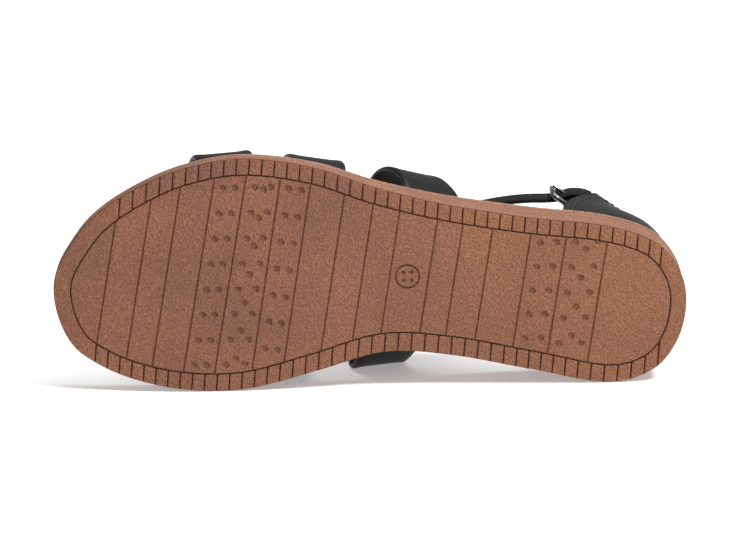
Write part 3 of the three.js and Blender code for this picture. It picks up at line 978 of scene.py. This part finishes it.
def stationsAlong(sheet, step):
    fine = 600
    path = [sheet.at(i / fine, 0.0) for i in range(fine + 1)]
    stations, travelled = [0.0], 0.0
    for i in range(1, fine + 1):
        travelled += (path[i] - path[i - 1]).length
        if travelled >= step:
            stations.append(i / fine)
            travelled = 0.0
    return stations[:-1] + [1.0]


def makeStrap(name, strap, node):
    sheet = strapSheet(strap)
    half = strapShape["width"] / 2
    stations = stationsAlong(sheet, strapShape["step"])
    bm = bandMesh(sheet, stations, half, strapShape["thickness"], strapShape["puff"])
    return finishPiece(asObject(name, bm, smoothBelow=60), blackLeather, "upper", node)


makeStrap("toe_strap_leather", toeStrap, "toe_strap")
makeStrap("vamp_strap_leather", vampStrap, "vamp_strap")
makeStrap("instep_strap_leather", instepStrap, "instep_strap")
print("straps made")

# heel counter
counter = {"thickness": 2.2, "columns": 150}
counter |= {"frontAt": 194.5, "frontRake": 0.0082, "topFront": 44, "topBack": 47}
counterRows = [
    {"up": -3.9, "inset": 3.6, "back": 0},
    {"up": 0, "inset": 3.6, "back": 0},
    {"up": 10, "inset": 2.4, "back": 0.3},
    {"up": 24, "inset": 1.9, "back": 1.6},
    {"up": 36, "inset": 2.0, "back": 4.6},
    {"up": 50, "inset": 2.8, "back": 9.5},
]


# a point of the counter: u from -1 to 1 round the heel, v from the sole to the top edge
def counterPoint(u, v, out, grow=0.0):
    bottom = counterRows[0]["up"] - 2 * grow
    top = counter["topBack"] - (counter["topBack"] - counter["topFront"]) * u * u
    up = bottom + (top - bottom) * v
    front = counter["frontAt"] + counter["frontRake"] * max(0, up) ** 2
    turn = math.pi - u * (math.pi - turnAt(front)) * (1 + grow / 60)
    inset = smoothCurve([(row["up"], row["inset"]) for row in counterRows], up)
    back = smoothCurve([(row["up"], row["back"]) for row in counterRows], up)
    return onRim(turn, inset + back * (1 - u**4) - out, up)


def counterMesh(columns, grow=0.0):
    half = counter["thickness"] / 2 + grow
    levels = [0.02, 0.1, 0.18, 0.26, 0.34, 0.42, 0.5, 0.58, 0.66, 0.74, 0.82, 0.9, 0.95]
    rounding = [(-60, 0), (-30, 0), (0, 0), (30, 1), (60, 0)]
    section = [(v, half, 0.0, 0.0) for v in levels]
    lip = half / 55  # half the thickness as a share of the height
    for angle, onEdgeLine in rounding:
        a = math.radians(angle)
        section.append((1 - lip + lip * math.cos(a), -half * math.sin(a), float(angle > 0), float(onEdgeLine)))
    section += [(v, -half, 1.0, 0.0) for v in reversed(levels)]
    section.append((0.0, 0.0, 1.0, 0.0))

    def place(u):
        return lambda i: counterPoint(u, section[i][0], section[i][1], grow)

    spans = [-1 + 2 * k / columns for k in range(columns + 1)]
    bm = loft(len(section), [place(u) for u in spans])
    spot = bm.verts.layers.int["spot"]
    setPointValue(bm, "lining", lambda v: section[v[spot]][2])
    setPointValue(bm, "trim", lambda v: section[v[spot]][3])
    return bm


def makeCounter():
    bm = counterMesh(counter["columns"])
    piece = asObject("heel_counter_leather", bm, smoothBelow=60)
    return finishPiece(piece, blackLeather, "upper", "heel_counter")


makeCounter()
print("heel counter made")

# stitches
stitch = {"length": 1.8, "pitch": 2.6, "radius": 0.24, "fromEdge": 2.0}


# path gives a place and a way out of the leather for t from 0 to 1
def addStitches(bm, path):
    fine = 400
    travelled = stitch["pitch"] / 2
    before = path(0)[0]
    for i in range(1, fine + 1):
        here, out = path(i / fine)
        travelled += (here - before).length
        if travelled >= stitch["pitch"]:
            along = (here - before).normalized()
            side = out.cross(along).normalized()
            basis = Matrix((along, side, side.cross(along) * -1)).transposed().to_4x4()
            size = Matrix.Diagonal((stitch["length"] / 2, stitch["radius"], stitch["radius"], 1))
            bmesh.ops.create_uvsphere(
                bm, u_segments=8, v_segments=6, radius=1, matrix=Matrix.Translation(here) @ basis @ size
            )
            travelled = 0
        before = here


def counterEdgePath(side):
    def path(t):
        v = 0.13 + 0.82 * t
        back = 1 - stitch["fromEdge"] / 46
        here = counterPoint(side * back, v, counter["thickness"] / 2 + 0.05)
        inner = counterPoint(side * back, v, 0)
        return here, (here - inner).normalized()

    return path


def counterTopPath(t):
    u = -0.93 + 1.86 * t
    v = 1 - stitch["fromEdge"] / 52
    here = counterPoint(u, v, counter["thickness"] / 2 + 0.05)
    return here, (here - counterPoint(u, v, 0)).normalized()


def makeStitches():
    bm = bmesh.new()
    for side in (-1, 1):
        addStitches(bm, counterEdgePath(side))
    addStitches(bm, counterTopPath)
    return finishPiece(asObject("counter_stitches", bm, smoothBelow=180), thread, "upper")


makeStitches()
print("stitches made")

# ankle strap and buckle
ankle = {"width": 10.5, "thickness": 1.8, "puff": 0.1, "step": 1.3}
# the prong is in the last hole
ankle |= {"holes": [0.635, 0.69, 0.9, 0.79], "holeRadius": 0.95, "holeDepth": 6}
ankleRows = [
    {"at": 214, "y": 34.5, "z": 64, "lean": 86},
    {"at": 206, "y": 36.6, "z": 64.5, "lean": 86},
    {"at": 194, "y": 37, "z": 67, "lean": 82},
    {"at": 180, "y": 34.5, "z": 71.5, "lean": 74},
    {"at": 165, "y": 28.5, "z": 77, "lean": 66},
    {"at": 153.5, "y": 18, "z": 81.5, "lean": 60},
    {"at": 149, "y": 7, "z": 83, "lean": 60},
    {"at": 152, "y": -2.3, "z": 80.6, "lean": 66},
    {"at": 161, "y": -7.6, "z": 76, "lean": 76},
    {"at": 172, "y": -11, "z": 70.3, "lean": 84},
    {"at": 183, "y": -12.9, "z": 65.8, "lean": 89},
    {"at": 190, "y": -13.2, "z": 64.2, "lean": 90},
    {"at": 194.5, "y": -13.6, "z": 64, "lean": 90},
    {"at": 198.5, "y": -15.1, "z": 64, "lean": 90},
    {"at": 203, "y": -15.2, "z": 64, "lean": 90, "wide": 0.95},
    {"at": 206, "y": -14.7, "z": 64, "lean": 90, "wide": 0.75},
    {"at": 207.5, "y": -14.3, "z": 64, "lean": 90, "wide": 0.3},
]
buckle = {
    "rearBar": Vector((79, -11, 64)),
    "frontBar": Vector((72.4, -15.9, 64)),
    "wire": 1.1,
    "sides": 16,
    "height": 14,
    "corner": 2.2,
    "cornerSteps": 6,
    "prong": 0.7,
    "prongTurn": 320,  # how far it is wound round the rear bar
    "overhang": 1,
    "gap": 0.3,
}
tab = {"thickness": 1.2, "width": 9, "length": 17, "turn": 25}
tab |= {"slot": 3, "slotReach": (7, 8), "slotShift": -0.6}


def makeAnkleStrap():
    half = ankle["width"] / 2
    sheet = Sheet([archRow(row, half) for row in ankleRows])
    stations = stationsAlong(sheet, ankle["step"])
    bm = bandMesh(sheet, stations, half, ankle["thickness"], ankle["puff"])
    setPointValue(bm, "trim", lambda v: 0.0)
    piece = asObject("ankle_strap_leather", bm, smoothBelow=60)
    holes = bmesh.new()
    for t in ankle["holes"]:
        here, out = sheet.at(t, 0.0), sheet.normal(t, 0.0)
        turn = out.to_track_quat("Z", "Y").to_matrix().to_4x4()
        bmesh.ops.create_cone(
            holes,
            cap_ends=True,
            segments=20,
            radius1=ankle["holeRadius"],
            radius2=ankle["holeRadius"],
            depth=ankle["holeDepth"],
            matrix=Matrix.Translation(here) @ turn,
        )
    carve(piece, asObject("punched_holes", holes))
    return finishPiece(piece, blackLeather, "upper", "ankle_strap")


makeAnkleStrap()
print("ankle strap made")


# a closed ring of round wire: two bars joined by short sides, with four round corners
def makeBuckleFrame():
    rear, front = buckle["rearBar"], buckle["frontBar"]
    upward = Vector((0, 0, 1))
    outward = (rear - front).normalized()
    facing = outward.cross(upward)
    across = (rear - front).length / 2 - buckle["corner"]
    tall = buckle["height"] / 2 - buckle["corner"]
    signs = [(1, 1), (-1, 1), (-1, -1), (1, -1)]
    places = []
    for quarter, (along, over) in enumerate(signs):
        centre = (rear + front) / 2 + outward * across * along + upward * tall * over
        for k in range(buckle["cornerSteps"] + 1):
            turn = math.pi / 2 * (quarter + k / buckle["cornerSteps"])
            way = outward * math.cos(turn) + upward * math.sin(turn)

            def place(i, middle=centre + way * buckle["corner"], way=way):
                angle = math.tau * i / buckle["sides"]
                return middle + (way * math.cos(angle) + facing * math.sin(angle)) * buckle["wire"]

            places.append(place)
    bm = bmesh.new()
    first = ring = startRing(bm, buckle["sides"], places[0])
    for place in places[1:]:
        ring = nextRing(bm, ring, place)
    bmesh.ops.bridge_loops(bm, edges=first + ring)
    bmesh.ops.recalc_face_normals(bm, faces=bm.faces)
    piece = asObject("buckle_frame_metal", bm, smoothBelow=60)
    return finishPiece(piece, gunmetal, "buckle", "buckle_frame")


def makeProng():
    rear, front = buckle["rearBar"], buckle["frontBar"]
    along = (front - rear).normalized()
    clear = buckle["wire"] + buckle["gap"] + buckle["prong"]
    out = Vector((-along.y, along.x, 0))
    bm = bmesh.new()
    spot = Matrix.Translation(rear + out * clear) @ along.to_track_quat("Z", "Y").to_matrix().to_4x4()
    circle = bmesh.ops.create_circle(bm, segments=14, radius=buckle["prong"], matrix=spot)["verts"]
    ring = list({e for v in circle for e in v.link_edges})
    wound = math.radians(buckle["prongTurn"])
    bmesh.ops.spin(
        bm, geom=circle + ring, cent=rear, axis=(0, 0, 1), angle=wound, steps=24, use_duplicate=False
    )
    start = rear + out * clear
    tip = [e for e in bm.edges if e.is_boundary and all((v.co - start).length < 1 for v in e.verts)]
    reach = (front - rear).length + buckle["overhang"]
    for share, size in ((0.5, 1.0), (0.9, 0.95), (1.0, 0.6)):
        verts, tip = extrudeRing(bm, tip)
        centre = rear + out * clear + along * reach * share
        now = sum((v.co for v in verts), Vector()) / len(verts)
        for v in verts:
            v.co = centre + (v.co - now).normalized() * buckle["prong"] * size
    ends = [e for e in bm.edges if e.is_boundary]
    bmesh.ops.holes_fill(bm, edges=ends, sides=0)
    bmesh.ops.recalc_face_normals(bm, faces=bm.faces)
    piece = asObject("buckle_prong_metal", bm, smoothBelow=60)
    return finishPiece(piece, gunmetal, "buckle", "buckle_prong")


# leather folded round the rear bar, with both ends lying together inside the counter
def makeTab():
    hole = buckle["wire"] + buckle["gap"]
    middle = hole + tab["thickness"] / 2
    bm = bmesh.new()
    corners = [(-0.5, -0.5), (0.5, -0.5), (0.5, 0.5), (-0.5, 0.5)]
    verts = [bm.verts.new((0, middle + tab["thickness"] * a, tab["width"] * b)) for a, b in corners]
    ring = [bm.edges.new((verts[i], verts[(i + 1) % 4])) for i in range(4)]
    made = bmesh.ops.spin(
        bm, geom=verts + ring, cent=(0, 0, 0), axis=(0, 0, 1), angle=math.pi, steps=16, use_duplicate=False
    )["geom_last"]
    near = tab["thickness"] / 2 + 0.03
    for ends, side in ((ring, 1), (pick(made, bmesh.types.BMEdge), -1)):
        for x, y in ((1.6, middle), (4.2, near), (tab["length"], near)):
            moved, ends = extrudeRing(bm, ends)
            now = sum((v.co for v in moved), Vector()) / len(moved)
            bmesh.ops.translate(bm, vec=(x - now.x, y * side - now.y, 0), verts=moved)
    bmesh.ops.holes_fill(bm, edges=[e for e in bm.edges if e.is_boundary], sides=0)
    bmesh.ops.recalc_face_normals(bm, faces=bm.faces)
    sharp = [e for e in bm.edges if e.calc_face_angle(0) > 1]
    bmesh.ops.bevel(bm, geom=sharp, offset=0.25, segments=2, profile=0.5, affect="EDGES", material=-1)
    turn = Matrix.Translation(buckle["rearBar"]) @ Matrix.Rotation(math.radians(tab["turn"]), 4, "Z")
    bm.transform(turn)
    setPointValue(bm, "lining", lambda v: 0.0)
    setPointValue(bm, "trim", lambda v: 0.0)
    piece = asObject("buckle_tab_leather", bm, smoothBelow=50)
    slot = bmesh.new()
    size = Matrix.Diagonal((*tab["slotReach"], tab["slot"], 1))
    middle = Matrix.Translation(buckle["rearBar"] + Vector((tab["slotShift"], 0, 0)))
    bmesh.ops.create_cube(slot, size=1, matrix=middle @ size)
    carve(piece, asObject("prong_slot", slot))
    return finishPiece(piece, blackLeather, "upper", "buckle_tab")


makeBuckleFrame()
makeProng()
makeTab()
print("buckle made")

# footbed
footbed = {"points": 300, "gap": 0.3, "pressed": 0.35, "capMargin": 8, "capStep": 4}


def makeFootbed():
    inset = shoe["rimWall"] + footbed["gap"]

    def ring(extra, up):
        def place(i):
            return onRim(math.tau * i / footbed["points"], inset + extra, up)

        return place

    low = footbed["pressed"]  # a line pressed in beside the edge
    rings = [ring(0, -shoe["rimDepth"] + footbed["gap"]), ring(0, -0.3), ring(0.15, 0.15), ring(0.45, 0.45)]
    rings += [ring(0.9, 0.6), ring(3.2, 0.6), ring(3.7, low), ring(4.2, low), ring(4.7, 0.6), ring(9, 0.6)]
    bm = loft(footbed["points"], rings)
    setPointValue(bm, "pressed", lambda v: float(abs(v.co.z - rimTop(v.co.x) - low) < 0.02))
    end = shoe["length"] / 2 - footbed["capMargin"]
    cutWideFaces(bm, -end, end, footbed["capStep"])
    piece = asObject("footbed_leather", bm, smoothBelow=35)
    for strap in (toeStrap, vampStrap, instepStrap):
        sheet = strapSheet(strap, grow=0.3)
        stations = stationsAlong(sheet, 2.4)
        half, thickness = strapShape["width"] / 2 + 0.3, strapShape["thickness"] + 0.7
        wider = bandMesh(sheet, stations, half, thickness, 0.2)
        carve(piece, asObject("strap_room", wider))
    carve(piece, asObject("counter_room", counterMesh(60, 0.35)))
    shine = piece.modifiers.new("even shading", "WEIGHTED_NORMAL")
    shine.keep_sharp = True
    return finishPiece(piece, footbedLeather, "footbed", "footbed")


makeFootbed()
print("footbed made")

# floor, light and camera
stageLook = {"floorSize": 30, "floorTone": (0.9, 0.9, 0.9, 1), "floorGlow": 0.3, "skyStrength": 0.36}
white = (1, 1, 1, 1)


def makeStage():
    bm = bmesh.new()
    bmesh.ops.create_grid(bm, x_segments=1, y_segments=1, size=stageLook["floorSize"])
    mesh = bpy.data.meshes.new("floor")
    bm.to_mesh(mesh)
    bm.free()
    floor = bpy.data.objects.new("floor", mesh)
    bpy.context.scene.collection.objects.link(floor)
    material, tree, shader = newMaterial("paper floor")
    shader.inputs["Base Color"].default_value = stageLook["floorTone"]
    shader.inputs["Roughness"].default_value = 0.9
    shader.inputs["Emission Color"].default_value = white
    shader.inputs["Emission Strength"].default_value = stageLook["floorGlow"]
    mesh.materials.append(material)
    world = bpy.data.worlds.new("pale studio")
    bpy.context.scene.world = world
    world.use_nodes = True
    sky = world.node_tree.nodes["Background"]
    sky.inputs["Color"].default_value = white
    sky.inputs["Strength"].default_value = stageLook["skyStrength"]


lampTarget = Vector((0, 0, 0.04))
lamps = [
    {"name": "overhead softbox", "from": (0.1, 0.0, 1.3), "size": 0.8, "power": 9},
    {"name": "side softbox", "from": (0.75, -0.62, 1.25), "size": 0.3, "power": 24},
]


def makeLamps():
    for lamp in lamps:
        data = bpy.data.lights.new(lamp["name"], "AREA")
        data.shape = "DISK"
        data.size = lamp["size"]
        data.energy = lamp["power"]
        light = bpy.data.objects.new(lamp["name"], data)
        place = Vector(lamp["from"])
        light.location = place
        light.rotation_euler = (lampTarget - place).to_track_quat("-Z", "Y").to_euler()
        bpy.context.scene.collection.objects.link(light)


camera = {"elevation": 13.5, "roll": 1.34, "distance": 1.6, "lens": 203.4, "sensor": 36}
camera |= {"aimX": 2.29, "aimUp": -0.39}  # how far from the middle of the sole it aims, in millimetres


def makeCamera():
    rise, roll = math.radians(camera["elevation"]), math.radians(camera["roll"])
    ahead = Vector((0, math.cos(rise), -math.sin(rise)))
    upward = Vector((0, math.sin(rise), math.cos(rise)))
    right = Vector((1, 0, 0))
    aside = (right * camera["aimX"] + upward * camera["aimUp"]) / 1000
    aim = standing @ Vector((0, 0, 0)) + aside
    across = right * math.cos(roll) - upward * math.sin(roll)
    over = right * math.sin(roll) + upward * math.cos(roll)
    turn = Matrix((across, over, -ahead)).transposed().to_4x4()
    data = bpy.data.cameras.new("camera")
    data.lens = camera["lens"]
    data.sensor_width = camera["sensor"]
    data.clip_end = 100
    eye = bpy.data.objects.new("camera", data)
    eye.matrix_world = Matrix.Translation(aim - ahead * camera["distance"]) @ turn
    bpy.context.scene.collection.objects.link(eye)
    bpy.context.scene.camera = eye


makeStage()
makeLamps()
makeCamera()
bpy.context.scene.view_settings.view_transform = "Standard"
print("stage made")
